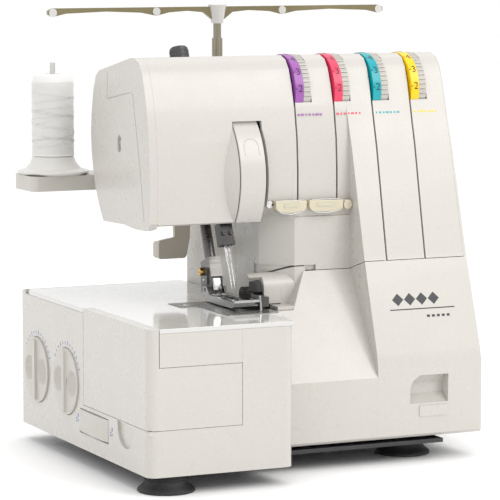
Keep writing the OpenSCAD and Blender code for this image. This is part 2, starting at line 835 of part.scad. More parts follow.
module pressure_knob() {
  color("#3b3c3e") leaning(presser_x, presser_y0) {
    rod_z(4.2, 170, 181, 0, 0);
    rod_z(pressure_r, 180.8, 191, 0, 0);
    difference() {
      rod_z(pressure_r - 0.8, 190.9, 192, 0, 0);
      box(-8, 8, -0.7, 0.7, 191.2, 193);
    }
  }
}

module take_up_lever() {
  color("#efeeeb") difference() {
    union() {
      intersection() {
        difference() {
          rod_x(take_r, -35.6, -16.2, take_y, take_z);
          rod_x(take_r - 3, -33.6, -18.2, take_y, take_z);
        }
        yz(-36, -14) polygon([[take_y, take_z], [-30, 257.2], [-70, 257],
          [-70, 160], [-57.2, 160]]);
      }
      rod_x(6, -35.6, -16.2, take_y, take_z);
    }
    rod_x(3 + fit, -40, -10, take_y, take_z);
  }
}

module tension_axle() {
  color("#aeb0b3") {
    rod_x(axle_r, 4, 131, dial_y, dial_z);
    rod_x(3, -35, 4, take_y, take_z);
    box(2, 4.6, -16, -4, 204, 268);
    box(2, 4.6, -16, take_y + 4, take_z - 4, take_z + 5);
    box(2, 31, -14, 22, 218, 224);
    box(26, 31, 10, 22, 218, 228);
  }
}

module tension_discs() {
  color("#b9bbbe") for (x = dial_x) {
    for (dx = [-2.2, -0.4]) difference() {
      rod_x(11, x + dx, x + dx + 0.9, dial_y, dial_z);
      rod_x(axle_r + 0.1, x + dx - 1, x + dx + 2, dial_y, dial_z);
    }
  }
}

// wheel with a coloured band and a ribbed band, ribs drawn as notches
module tension_dial(x) {
  difference() {
    union() {
      rod_x(tension_r, x + 1.6, x + 8, dial_y, dial_z);
      rod_x(tension_r - 0.4, x + 8, x + 13.8, dial_y, dial_z);
    }
    rod_x(axle_r + fit, x, x + 15, dial_y, dial_z);
    for (a = [0:7.5:359]) translate([0, dial_y, dial_z]) rotate([a, 0, 0])
      box(x + 8.4, x + 15, -0.4, 0.4, tension_r - 1, tension_r + 2);
    difference() {
      rod_x(tension_r - 5, x + 5, x + 15, dial_y, dial_z);
      rod_x(7, x, x + 16, dial_y, dial_z);
    }
  }
}

module dial_left_needle() {
  color("#9a5aa6") tension_dial(dial_x[0]);
}

module dial_right_needle() {
  color("#ea4a62") tension_dial(dial_x[1]);
}

module dial_upper_looper() {
  color("#0f9fae") tension_dial(dial_x[2]);
}

module dial_lower_looper() {
  color("#f6c40c") tension_dial(dial_x[3]);
}

module front_guides() {
  color("#efe6cd") {
    xz(-46, -39.6) polygon(concat([[17, 186.6], [-7, 187.2]],
      arc(-2, 183.6, 5, 180, 265, 6), [[5, 178.2]],
      arc(13.2, 182.6, 3.8, 275, 360, 6)));
    xz(-46, -39.6) polygon(concat([[46, 186.2], [19.5, 186.8]],
      arc(24.4, 183.4, 5, 180, 265, 6), [[34, 177.9]],
      arc(42.2, 182, 3.8, 275, 360, 6)));
    rod_y(3.3, -45.6, -39.6, 50.2, 182.6);
  }
  color("#a4a5a6") difference() {
    rod_y(2.6, -42.6, -39.5, -10.4, 184.4);
    box(-13, -8, -43, -41.8, 184.1, 184.7);
  }
}

// round dial with a grip ridge between two scooped sides
module side_dial(y) {
  difference() {
    union() {
      rod_x(side_dial_r, -139.5, -129.6, y, side_dial_z);
      rod_x(5, -129.7, -121, y, side_dial_z);
      box(-141.5, -139.4, y - 2.4, y + 2.4, side_dial_z - side_dial_r + 2,
        side_dial_z + side_dial_r - 2);
    }
    // thumb scoops either side of the grip ridge
    for (s = [-1, 1])
      translate([-143.4, y + s * 12.6, side_dial_z]) rotate([0, 90, 0])
        rotate_extrude() polygon([[0, 0], [10, 0], [9.4, 3.9], [7, 6.6],
          [4, 8.2], [0, 8.8]]);
  }
}

module stitch_length_dial() {
  color("#e6e3de") side_dial(side_dial_y[1]);
}

module differential_dial() {
  color("#e6e3de") side_dial(side_dial_y[0]);
}

module stitch_lever() {
  color("#e6e3de") difference() {
    translate([lever_x, lever_y, 24.9]) linear_extrude(15.8)
      polygon([[-6.2, -26.7], [-7, -20], [-7.8, 0], [-7, 20], [-6.2, 26.7],
        [-3.4, 26.7], [-1.4, 8], [3, 4], [3, -4], [-1.4, -8],
        [-3.4, -26.7]]);
    rod_z(1.5 + fit, 20, 50, lever_x, lever_y);
  }
}

module upper_knife() {
  color("#c3c5c7") yz(-27.2, -25.4)
    polygon([[-63, 112.4], [-61, 110.6], [-48, 111.4], [-47, 122],
      [-61, 122.6]]);
}

module knife_arm() {
  color("#5b544b") {
    difference() {
      union() {
        rod_x(5.5, -25.4, -18.4, knife_y, knife_z);
        yz(-25.4, -20) polygon([[-62, 114.6], [-28, 114.4], [-26, 124.4],
          [-32, 124.2], [-37, 121.6], [-62, 121.6]]);
      }
      rod_x(3.5, -30, 40, knife_y, knife_z);
    }
    rod_x(3.5, -25.4, 30, knife_y, knife_z);
  }
}

module knife_knob() {
  color("#1d1d1e") {
    rod_z(1.6, 121.6, 123.4, -22.4, -44);
    rod_z(4.6, 123.2, 130.4, -22.4, -44);
  }
}

module lower_knife() {
  color("#a9abad") {
    box(-29.4, -27.6, -64, -53, 102, 113.2);
    box(-34, -29.3, -65.4, -53, 102, bed_z - 2.4);
  }
}

module upper_looper() {
  color("#bfc1c3") {
    rod_y(4, -47.4, -4.6, -4, 60);
    xz(-47.5, -44.6) polygon([[-10, 56], [2, 56], [1, 64], [-5, 90],
      [-12, 100], [-22, 105], [-33, 106], [-33, 105], [-22, 102],
      [-14, 96], [-10, 88]]);
  }
}

module lower_looper() {
  color("#bfc1c3") {
    rod_y(4, -53, -4.6, -25, 48);
    xz(-51.4, -48.6) polygon([[-31, 44], [-19, 44], [-18, 54],
      [-15, 82], [-17, 92], [-26, 98], [-46, 102], [-46, 101],
      [-27, 95], [-22, 89], [-22, 80]]);
  }
}

module feed_dogs() {
  color("#a4a6a8") {
    box(-47.6, -33.6, -41, -16, 104, 108.6);
    for (x = feed_x) {
      yz(x, x + 1.6) polygon(concat([[-15.4, 108.5], [-15.4, 113]],
        [for (i = [0:25]) [-15.8 - i * 0.98, i % 2 == 0 ? 113.9 : 113]],
        [[-41, 113], [-41, 108.5]]));
    }
  }
}

module spool_stand() {
  color("#e4e3df") {
    difference() {
      translate([0, 0, tray_z]) linear_extrude(tray_t)
        polygon(rounded(-143, 168, 81.2, 121, 5));
      translate([0, 0, tray_z - 1]) linear_extrude(tray_t - 2)
        polygon(rounded(-140, 165, 84.2, 118, 3));
    }
    translate([pole_x, pole_y, tray_z + 1]) difference() {
      rod_z(8, 0, 22, 0, 0);
      rod_z(5 + fit, 10, 30, 0, 0);
    }
  }
  color("#8f8a7a") difference() {
    rod_z(5, tray_z + 11, 274, pole_x, pole_y);
    rod_z(4 + fit, tray_z + 12, 300, pole_x, pole_y);
  }
  color("#c8c9ca") for (dx = spool_dx)
    rod_z(2, tray_z + tray_t - 1, 281, pole_x + dx, pole_y);
}

module stand_bracket() {
  color("#cfcdc8") yz(-4, 34) polygon([[80.2, 188], [104, 168.1],
    [107, 162.4], [110.5, 162.4], [118, 181], [118, 188]]);
}

module thread_pole_middle() {
  color("#b5b6b7") difference() {
    rod_z(4, tray_z + 14, 297, pole_x, pole_y);
    rod_z(3 + fit, tray_z + 15, 300, pole_x, pole_y);
  }
}

module thread_pole_top() {
  color("#c4c5c6") rod_z(3, tray_z + 17, 312, pole_x, pole_y);
}

module thread_guide_bar() {
  color("#8f8150") {
    for (s = [0, 1]) {
      xz(pole_y - 1.6, pole_y + 1.6) polygon(s == 0 ?
        [[pole_x - 5, 320.6], [pole_x - 132, 320.6],
         [pole_x - 136, 319], [pole_x - 136, 316],
         [pole_x - 132, 314.4], [pole_x - 122, 316.6],
         [pole_x - 90, 317.8], [pole_x - 62, 316.6],
         [pole_x - 50, 314.2], [pole_x - 40, 316.6],
         [pole_x - 25, 317.6], [pole_x - 12, 316.4],
         [pole_x - 5, 311]] :
        [[pole_x + 5, 320.6], [pole_x + 135, 320.6],
         [pole_x + 139, 319], [pole_x + 139, 316],
         [pole_x + 135, 314.4], [pole_x + 125, 316.6],
         [pole_x + 93, 317.8], [pole_x + 65, 316.6],
         [pole_x + 53, 314.2], [pole_x + 43, 316.6],
         [pole_x + 25, 317.6], [pole_x + 12, 316.4],
         [pole_x + 5, 311]]);
    }
  }
  color("#f0efec") {
    difference() {
      translate([pole_x, pole_y, 308])
        cylinder(r1 = 4.6, r2 = 7, h = 14);
      rod_z(3 + fit, 300, 312.2, pole_x, pole_y);
    }
    for (dx = spool_dx) rod_y(3, pole_y - 2.4, pole_y + 2.4,
      pole_x + dx, 317.4);
  }
}

module spool_cushions() {
  color("#e9e8e4") for (dx = spool_dx)
    translate([pole_x + dx, pole_y, tray_z + tray_t]) rotate_extrude()
      polygon([[2.05, 0.1], [cushion_r - 3, 0.1], [cushion_r, 1.6],
        [cushion_r, 2.8], [cushion_r - 6, 4.4], [17, 8.6],
        [15, 13.6], [2.05, 13.6]]);
}

module thread_spool() {
  color("#fbfbfa") translate([pole_x + spool_dx[0], pole_y,
    tray_z + tray_t + 13.8]) {
    rotate_extrude() polygon([[2.2, 0], [15.8, 0], [15.8, 1],
      [thread_r, 1.4], [thread_r, thread_h], [15.6, thread_h + 0.6],
      [14, thread_h + 4.6], [11, thread_h + 6], [2.2, thread_h + 6]]);
  }
}

module power_socket() {
  color("#232425") difference() {
    box(129.6, 139.6, 72.6, 105.4, 34.6, 57.4);
    box(132.4, 140, 76, 102, 38, 54);
  }
  color("#c6a65a") for (y = [83, 89, 95]) rod_x(1.3, 132.3, 138, y, 46);
}

module power_switch() {
  color("#242526") {
    translate([switch_x, switch_y, 67]) rotate([0, 0, -6])
      linear_extrude(14) polygon([[6.4, -11.4], [5.2, 0], [6.4, 11.4],
        [1, 11], [-2, 3], [-2, -3], [1, -11]]);
    rod_z(1.5, 64.4, 83.6, switch_x, switch_y);
  }
}

placed() base_plate();
placed() suction_feet();
placed() lower_cover();
placed() free_arm();
placed() cloth_plate();
placed() needle_plate();
placed() free_arm_extension();
placed() looper_hinge_rod();
placed() looper_cover();
placed() front_casing();
placed() rear_casing();
placed() end_cap();
placed() right_cover();
placed() main_frame();
placed() upper_frame();
placed() main_shaft();
placed() shaft_eccentrics();
placed() drive_pulley();
placed() handwheel();
placed() motor();
placed() motor_shaft();
placed() drive_belt();
placed() needle_bar();
placed() needle_clamp();
placed() needles();
placed() needle_screws();
placed() presser_bar();
placed() presser_spring();
placed() foot_holder();
placed() foot_screw();
placed() presser_foot();
placed() presser_lifter();
placed() pressure_knob();
placed() take_up_lever();
placed() tension_axle();
placed() tension_discs();
placed() dial_left_needle();
placed() dial_right_needle();
placed() dial_upper_looper();
placed() dial_lower_looper();
placed() front_guides();
placed() stitch_length_dial();
placed() differential_dial();
placed() stitch_lever();
placed() upper_knife();
placed() knife_arm();
placed() knife_knob();
placed() lower_knife();
placed() upper_looper();
placed() lower_looper();
placed() feed_dogs();
placed() spool_stand();
placed() stand_bracket();
placed() thread_pole_middle();
placed() thread_pole_top();
placed() thread_guide_bar();
placed() spool_cushions();
placed() thread_spool();
placed() power_socket();
placed() power_switch();
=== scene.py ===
import json
import math
import random

import bmesh
import bpy
from mathutils import Matrix, Vector


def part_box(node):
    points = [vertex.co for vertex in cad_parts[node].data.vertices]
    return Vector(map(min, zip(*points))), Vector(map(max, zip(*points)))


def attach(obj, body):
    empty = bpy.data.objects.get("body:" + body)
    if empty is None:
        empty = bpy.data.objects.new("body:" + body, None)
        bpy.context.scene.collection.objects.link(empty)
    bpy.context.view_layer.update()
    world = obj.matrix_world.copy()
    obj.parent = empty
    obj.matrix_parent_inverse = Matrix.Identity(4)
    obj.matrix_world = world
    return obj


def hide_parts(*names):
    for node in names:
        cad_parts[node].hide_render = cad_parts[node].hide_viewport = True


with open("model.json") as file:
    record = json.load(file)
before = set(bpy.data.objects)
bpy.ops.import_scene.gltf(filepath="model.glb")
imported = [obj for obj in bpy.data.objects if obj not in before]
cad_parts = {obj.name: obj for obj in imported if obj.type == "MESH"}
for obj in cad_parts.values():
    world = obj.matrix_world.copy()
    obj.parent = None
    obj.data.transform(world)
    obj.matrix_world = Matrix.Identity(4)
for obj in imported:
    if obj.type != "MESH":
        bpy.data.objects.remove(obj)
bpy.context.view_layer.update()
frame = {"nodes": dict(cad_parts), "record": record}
random.seed(7)

# ---------------------------------------------------------------- places
# All places below are millimetres in the body's own frame: the block's left
# face is at X -138, the table at Z 0. BODY_X moves them to the row frame.
BODY_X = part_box("lower_cover")[0][0] * 1000.0 + 138.0
LEAN = math.radians(21.0)
BED_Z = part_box("cloth_plate")[1][2] * 1000.0


def P(x, y, z):
    """A place in the body's frame, in mm, as a Vector in the row frame."""
    return Vector(((x + BODY_X) / 1000.0, y / 1000.0, z / 1000.0))


def box_mm(node):
    """The two corners of a node's box, in mm, in the body's frame."""
    lo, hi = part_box(node)
    lo = [v * 1000.0 for v in lo]
    hi = [v * 1000.0 for v in hi]
    lo[0] -= BODY_X
    hi[0] -= BODY_X
    return lo, hi


def lean_point(y0, x, y, z):
    """A place on a bar that leans back from (y0, bed), z along the bar."""
    c, s = math.cos(LEAN), math.sin(LEAN)
    return (x, y0 + y * c + z * s, BED_Z - y * s + z * c)


# ---------------------------------------------------------------- camera
CAMERA_AT = (-845.3, -1825.1, 376.1)
CAMERA_DOWN = 6.49
CAMERA_RIGHT = 24.69
LENS_MM, SENSOR_MM = 201.2, 36
FAR_M = 50

cam_data = bpy.data.cameras.new("camera")
cam = bpy.data.objects.new("camera", cam_data)
bpy.context.scene.collection.objects.link(cam)
cam.location = P(*CAMERA_AT)
cam.rotation_euler = (math.radians(90 - CAMERA_DOWN), 0,
                      math.radians(-CAMERA_RIGHT))
cam_data.lens = LENS_MM
cam_data.sensor_width = SENSOR_MM
cam_data.clip_end = FAR_M
bpy.context.scene.camera = cam


# ------------------------------------------------------------- materials
def new_material(name):
    m = bpy.data.materials.new(name)
    m.use_nodes = True
    nt = m.node_tree
    nt.nodes.clear()
    out = nt.nodes.new("ShaderNodeOutputMaterial")
    bsdf = nt.nodes.new("ShaderNodeBsdfPrincipled")
    nt.links.new(bsdf.outputs[0], out.inputs[0])
    return m, nt, bsdf


DIRT_MASK = [(0.45, (0, 0, 0)), (0.95, (0.14, 0.14, 0.14))]
NOISE_LO, NOISE_HI = 0.3, 0.7


def noise(nt, coord, scale, detail=3.0, stretch=None, rough=0.5):
    n = nt.nodes.new("ShaderNodeTexNoise")
    n.inputs["Scale"].default_value = scale
    n.inputs["Detail"].default_value = detail
    n.inputs["Roughness"].default_value = rough
    src = coord.outputs["Object"]
    if stretch:
        mp = nt.nodes.new("ShaderNodeMapping")
        mp.inputs["Scale"].default_value = stretch
        nt.links.new(src, mp.inputs[0])
        src = mp.outputs[0]
    nt.links.new(src, n.inputs["Vector"])
    return n


def ramp(nt, fac, stops):
    r = nt.nodes.new("ShaderNodeValToRGB")
    el = r.color_ramp.elements
    while len(el) < len(stops):
        el.new(0.5)
    for e, (pos, col) in zip(el, stops):
        e.position = pos
        e.color = (*col, 1.0)
    nt.links.new(fac, r.inputs[0])
    return r


def span(nt, fac, lo, hi):
    r = nt.nodes.new("ShaderNodeMapRange")
    r.inputs["From Min"].default_value = NOISE_LO
    r.inputs["From Max"].default_value = NOISE_HI
    r.inputs["To Min"].default_value = lo
    r.inputs["To Max"].default_value = hi
    nt.links.new(fac, r.inputs["Value"])
    return r


def surface(name, col, vary=0.03, rough=(0.3, 0.4), grain=1500.0, bump=0.05,
            bump_dist=0.0002, metallic=0.0, coat=0.0, coat_rough=0.05,
            sub=0.0, stretch=None, smudge=None, sheen=0.0):
    """A solid surface: slow tint change, uneven roughness, fine grain."""
    m, nt, b = new_material(name)
    tc = nt.nodes.new("ShaderNodeTexCoord")
    slow = noise(nt, tc, 9.0, 4.0)
    dark = tuple(max(0.0, c * (1 - vary * 2)) for c in col)
    light = tuple(min(1.0, c * (1 + vary)) for c in col)
    tint = ramp(nt, slow.outputs["Fac"], [(0.32, dark), (0.68, light)])
    if smudge:
        # faint dirt that gathers in slow patches
        patch = noise(nt, tc, 26.0, 6.0, rough=0.7)
        mask = ramp(nt, patch.outputs["Fac"], DIRT_MASK)
        mix = nt.nodes.new("ShaderNodeMix")
        mix.data_type = "RGBA"
        nt.links.new(mask.outputs[0], mix.inputs[0])
        nt.links.new(tint.outputs[0], mix.inputs[6])
        mix.inputs[7].default_value = (*smudge, 1)
        nt.links.new(mix.outputs[2], b.inputs["Base Color"])
    else:
        nt.links.new(tint.outputs[0], b.inputs["Base Color"])
    mid = noise(nt, tc, 60.0, 5.0, stretch=stretch)
    rr = span(nt, mid.outputs["Fac"], rough[0], rough[1])
    nt.links.new(rr.outputs[0], b.inputs["Roughness"])
    fine = noise(nt, tc, grain, 2.0, stretch=stretch)
    bp = nt.nodes.new("ShaderNodeBump")
    bp.inputs["Strength"].default_value = bump
    bp.inputs["Distance"].default_value = bump_dist
    nt.links.new(fine.outputs["Fac"], bp.inputs["Height"])
    nt.links.new(bp.outputs[0], b.inputs["Normal"])
    b.inputs["Metallic"].default_value = metallic
    b.inputs["Coat Weight"].default_value = coat
    b.inputs["Coat Roughness"].default_value = coat_rough
    if sheen:
        b.inputs["Sheen Weight"].default_value = sheen
    if sub:
        b.inputs["Subsurface Weight"].default_value = sub
        b.inputs["Subsurface Radius"].default_value = (0.004, 0.003, 0.002)
        b.inputs["Subsurface Scale"].default_value = 1.0
    return m


WHITE = (0.545, 0.525, 0.488)
MAT = {
    "white_plastic": surface("white_plastic", WHITE, 0.012, (0.24, 0.34),
                             1900, 0.05, coat=0.15, smudge=(0.525, 0.50, 0.46)),
    "plate_plastic": surface("plate_plastic", (0.60, 0.59, 0.57), 0.01,
                             (0.06, 0.13), 1500, 0.02, coat=0.6,
                             coat_rough=0.03, smudge=(0.585, 0.57, 0.545)),
    "grey_white": surface("grey_white", (0.53, 0.51, 0.47), 0.015,
                          (0.34, 0.46), 1700, 0.08,
                          smudge=(0.50, 0.475, 0.43)),
    "cream_plastic": surface("cream_plastic", (0.62, 0.565, 0.435), 0.03,
                             (0.12, 0.2), 900, 0.03, sub=0.35),
    "rubber_black": surface("rubber_black", (0.018, 0.018, 0.018), 0.15,
                            (0.55, 0.75), 1300, 0.25,
                            smudge=(0.06, 0.058, 0.055)),
    "black_plastic": surface("black_plastic", (0.022, 0.022, 0.024), 0.1,
                             (0.3, 0.45), 1600, 0.12,
                             smudge=(0.05, 0.05, 0.05)),
    "dark_steel": surface("dark_steel", (0.10, 0.095, 0.09), 0.12,
                          (0.22, 0.36), 1200, 0.1, metallic=0.9,
                          stretch=(1, 1, 9)),
    "bright_steel": surface("bright_steel", (0.66, 0.66, 0.65), 0.04,
                            (0.1, 0.22), 1200, 0.05, metallic=1.0,
                            stretch=(1, 9, 1)),
    "steel": surface("steel", (0.36, 0.355, 0.35), 0.06, (0.22, 0.36), 900,
                     0.12, metallic=1.0, stretch=(1, 14, 1)),
    "plate_paint": surface("plate_paint", (0.028, 0.028, 0.03), 0.1,
                           (0.35, 0.5), 1100, 0.2),
    "casting": surface("casting", (0.48, 0.48, 0.48), 0.06, (0.4, 0.6), 700,
                       0.4, metallic=0.9),
    "motor_metal": surface("motor_metal", (0.16, 0.17, 0.18), 0.06,
                           (0.35, 0.5), 900, 0.2, metallic=0.4),
    "brass": surface("brass", (0.56, 0.38, 0.14), 0.08, (0.18, 0.3), 900,
                     0.08, metallic=1.0),
    "bronze_bar": surface("bronze_bar", (0.20, 0.165, 0.075), 0.12,
                          (0.16, 0.28), 900, 0.06, coat=0.3,
                          smudge=(0.30, 0.27, 0.15)),
    "purple": surface("purple", (0.30, 0.085, 0.36), 0.05, (0.22, 0.32),
                      1400, 0.05),
    "red": surface("red", (0.78, 0.045, 0.11), 0.05, (0.22, 0.32), 1400,
                   0.05),
    "teal": surface("teal", (0.0, 0.33, 0.38), 0.05, (0.22, 0.32), 1400,
                    0.05),
    "yellow": surface("yellow", (0.93, 0.56, 0.0), 0.04, (0.22, 0.32), 1400,
                      0.05),
    "thread_white": surface("thread_white", (0.74, 0.735, 0.72), 0.02,
                            (0.6, 0.8), 2600, 0.5, sheen=0.4),
}
MAT["clamp_black"] = surface("clamp_black", (0.022, 0.021, 0.021), 0.15,
                             (0.3, 0.42), 1500, 0.12, metallic=0.25,
                             smudge=(0.05, 0.045, 0.04))
MAT["screw_dark"] = surface("screw_dark", (0.045, 0.04, 0.035), 0.15,
                            (0.3, 0.45), 1300, 0.1, metallic=0.3)
MAT["bar_grey"] = surface("bar_grey", (0.17, 0.165, 0.16), 0.08,
                          (0.24, 0.36), 1100, 0.08, metallic=0.9,
                          stretch=(1, 1, 9))
MAT["pole_brown"] = surface("pole_brown", (0.30, 0.27, 0.21), 0.08,
                            (0.2, 0.34), 1100, 0.06, metallic=0.85,
                            stretch=(6, 6, 1))
MAT["pin_light"] = surface("pin_light", (0.62, 0.615, 0.60), 0.04,
                           (0.2, 0.32), 1100, 0.05, metallic=0.5)
MAT["lifter_beige"] = surface("lifter_beige", (0.60, 0.555, 0.48), 0.02,
                              (0.3, 0.42), 1700, 0.06,
                              smudge=(0.55, 0.50, 0.42))
MAT["foot_steel"] = surface("foot_steel", (0.42, 0.42, 0.42), 0.06,
                            (0.16, 0.28), 1100, 0.08, metallic=1.0,
                            stretch=(1, 9, 1))
MAT["needle_thread"] = surface("needle_thread", (0.50, 0.495, 0.48), 0.04,
                               (0.6, 0.8), 2600, 0.5, sheen=0.3)
# painted shade: the grey of the strips that fill the seams round the slide-off
# arm
MAT["seam_shade_grey"] = surface("seam_shade_grey", (0.36, 0.34, 0.31), 0.05, (0.5, 0.7),
                           1500, 0.1)
MAT["cushion_white"] = surface("cushion_white", (0.66, 0.645, 0.615), 0.012,
                               (0.3, 0.4), 1700, 0.05,
                               smudge=(0.62, 0.60, 0.565))
MAT["knob_grey"] = surface("knob_grey", (0.075, 0.077, 0.08), 0.15,
                           (0.3, 0.5), 1500, 0.15,
                           smudge=(0.14, 0.14, 0.14))
MAT["socket_inside"] = surface("socket_inside", (0.012, 0.012, 0.013), 0.1,
                               (0.5, 0.7), 1200, 0.1)
MAT["ink_dark"] = surface("ink_dark", (0.035, 0.035, 0.04), 0.1, (0.3, 0.4),
                          1800, 0.05)
MAT["ink_blue"] = surface("ink_blue", (0.06, 0.12, 0.42), 0.08, (0.3, 0.4),
                          1800, 0.05)
# painted shadow: the dark colour of the line under the stitch lever
MAT["lever_shadow_dark"] = surface("lever_shadow_dark", (0.16, 0.13, 0.10), 0.1, (0.5, 0.7),
                           1500, 0.1)


# ------------------------------------------------------- dressing the CAD
SLOT = {s["node"]: s["material_slot"] for s in frame["record"]["subparts"]}
# width of the rounded edge in mm, and the width for every other node
PLAIN_EDGE = 0.4
SOFT_EDGE = {
    "front_casing": 1.6, "rear_casing": 1.6, "end_cap": 2.2,
    "right_cover": 1.8, "looper_cover": 1.0, "lower_cover": 0.5,
    "cloth_plate": 0.5, "free_arm": 0.2, "free_arm_extension": 0.3,
    "stand_bracket": 2.0, "spool_stand": 1.2, "handwheel": 1.4,
    "presser_lifter": 1.0, "front_guides": 1.2, "take_up_lever": 1.6,
    "stitch_lever": 0.9, "stitch_length_dial": 0.8,
    "differential_dial": 0.8, "thread_guide_bar": 0.7, "foot_holder": 0.6,
    "needle_clamp": 0.5, "presser_foot": 0.35, "knife_knob": 0.7,
    "knife_arm": 0.5, "pressure_knob": 0.6, "needle_plate": 0.25,
    "power_switch": 0.8, "power_socket": 0.5, "thread_spool": 0.6,
}
# nodes deep inside, which keep their plain mesh
HIDDEN = {"main_frame", "upper_frame", "motor", "drive_belt", "drive_pulley",
          "shaft_eccentrics", "motor_shaft", "presser_spring"}
# nodes whose look is finer than their material slot
FINISH = {"needle_clamp": "clamp_black", "needle_screws": "screw_dark",
          "presser_bar": "bar_grey", "thread_pole_middle": "pole_brown",
          "thread_pole_top": "pole_brown", "presser_lifter": "lifter_beige",
          "foot_screw": "brass", "foot_holder": "bar_grey",
          "spool_cushions": "cushion_white", "pressure_knob": "knob_grey",
          "needle_bar": "bar_grey", "presser_foot": "foot_steel"}
NODES = frame["nodes"]
for name, ob in NODES.items():
    ob.data.materials.clear()
    ob.data.materials.append(MAT[FINISH.get(name, SLOT[name])])
    for poly in ob.data.polygons:
        poly.material_index = 0
        poly.use_smooth = name not in HIDDEN
    if name in HIDDEN:
        continue
    weld = ob.modifiers.new("weld", "WELD")
    weld.merge_threshold = 0.000004
    flat = ob.modifiers.new("flat", "DECIMATE")
    flat.decimate_type = "DISSOLVE"
    flat.angle_limit = math.radians(0.6)
    flat.delimit = {"MATERIAL"}
    bev = ob.modifiers.new("bevel", "BEVEL")
    bev.width = SOFT_EDGE.get(name, PLAIN_EDGE) / 1000.0
    bev.segments = 3
    bev.limit_method = "ANGLE"
    bev.angle_limit = math.radians(28)
    bev.use_clamp_overlap = True
    bev.harden_normals = False
    bev.miter_outer = "MITER_ARC"
    split = ob.modifiers.new("split", "EDGE_SPLIT")
    split.use_edge_sharp = False
    split.split_angle = math.radians(33)
    even = ob.modifiers.new("even", "WEIGHTED_NORMAL")
    even.mode = "FACE_AREA"
    even.weight = 60
    even.keep_sharp = True


def second_material(node, slot, test):
    """Gives the faces of a node whose middle passes the test another finish."""
    ob = NODES[node]
    ob.data.materials.append(MAT[slot])
    k = len(ob.data.materials) - 1
    for poly in ob.data.polygons:
        c = poly.center
        if test(c.x * 1000 - BODY_X, c.y * 1000, c.z * 1000):
            poly.material_index = k


DIALS = ["dial_left_needle", "dial_right_needle", "dial_upper_looper",
         "dial_lower_looper"]
DIAL_AXIS = (-8.0, 263.0)
COLOUR_BAND = 6.3
for n in DIALS:
    left = box_mm(n)[0][0]
    second_material(n, "grey_white", lambda x, y, z, a=left: x > a + COLOUR_BAND)
POLE = ((box_mm("thread_pole_top")[0][0] + box_mm("thread_pole_top")[1][0]) / 2,
        (box_mm("thread_pole_top")[0][1] + box_mm("thread_pole_top")[1][1]) / 2)
EYES = [-132.4, -50.2, 53.2, 135.2]
second_material("thread_guide_bar", "plate_plastic",
                lambda x, y, z: abs(x - POLE[0]) < 7.2 and z > 307
                and math.hypot(x - POLE[0], y - POLE[1]) < 7.2)
second_material("thread_guide_bar", "plate_plastic",
                lambda x, y, z: any(math.hypot(x - POLE[0] - d, z - 317.4)
                                    < 3.05 for d in EYES)
                and abs(y - POLE[1]) > 1.7)
second_material("spool_stand", "pin_light",
                lambda x, y, z: z > 200.2 and any(
                    math.hypot(x - POLE[0] - d, y - POLE[1]) < 2.3
                    for d in EYES))
second_material("spool_stand", "pole_brown",
                lambda x, y, z: z > 213 and math.hypot(
                    x - POLE[0], y - POLE[1]) < 5.3)
second_material("end_cap", "bright_steel",
                lambda x, y, z: math.hypot(y - 16.8, z - 226.5) < 2.9
                and x > -99.8 and x < -91)
second_material("front_guides", "bright_steel",
                lambda x, y, z: math.hypot(x + 10.4, z - 184.4) < 2.9)
second_material("power_socket", "brass",
                lambda x, y, z: x > 129.8 and any(
                    math.hypot(y - a, z - 46) < 1.5 for a in (83, 89, 95)))
second_material("needle_plate", "bright_steel",
                lambda x, y, z: math.hypot(x + 65.4, y + 20) < 3.4
                or math.hypot(x + 25, y + 20) < 3.4)


# --------------------------------------------------------- making pieces
def from_bm(name, bm, slot, body, smooth=True, sharp=35):
    """Makes a piece of the bmesh, which rides on a body."""
    bmesh.ops.recalc_face_normals(bm, faces=bm.faces)
    me = bpy.data.meshes.new(name)
    bm.to_mesh(me)
    bm.free()
    if smooth:
        for p in me.polygons:
            p.use_smooth = True
        me.set_sharp_from_angle(angle=math.radians(sharp))
    ob = bpy.data.objects.new(name, me)
    bpy.context.scene.collection.objects.link(ob)
    ob.data.materials.append(MAT[slot])
    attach(ob, body)
    return ob


def ring(bm, centre, u, v, r, n):
    """n new vertices on a circle of radius r (metres) in the plane u, v."""
    return [bm.verts.new(centre + u * (r * math.cos(2 * math.pi * i / n))
                         + v * (r * math.sin(2 * math.pi * i / n)))
            for i in range(n)]


def lathe(bm, origin, axis, u, profile, n=64, closed=False):
    """profile: (radius, height) pairs in mm, turned about axis at origin."""
    v = axis.cross(u)
    rows = []
    for r, h in profile:
        c = origin + axis * (h / 1000)
        if r <= 1e-6:
            rows.append([bm.verts.new(c)])
        else:
            rows.append(ring(bm, c, u, v, r / 1000, n))
    if closed:
        rows.append(rows[0])
    for a, b in zip(rows, rows[1:]):
        for i in range(n):
            j = (i + 1) % n
            quad = [a[i % len(a)], a[j % len(a)], b[j % len(b)], b[i % len(b)]]
            uniq = []
            for w in quad:
                if w not in uniq:
                    uniq.append(w)
            if len(uniq) > 2:
                bm.faces.new(uniq)


def block(bm, centre, size, rot=None, bevel=0.0):
    """A small rounded block, size in mm, centre a Vector in metres."""
    made = bmesh.ops.create_cube(bm, size=1.0)["verts"]
    mat = Matrix.Translation(centre)
    if rot is not None:
        mat = mat @ rot.to_4x4()
    mat = mat @ Matrix.Diagonal((*[s / 1000 for s in size], 1.0))
    bmesh.ops.transform(bm, matrix=mat, verts=made)
    if bevel:
        edges = list({e for w in made for e in w.link_edges})
        bmesh.ops.bevel(bm, geom=edges, offset=bevel / 1000, segments=2,
                        profile=0.5, affect="EDGES")


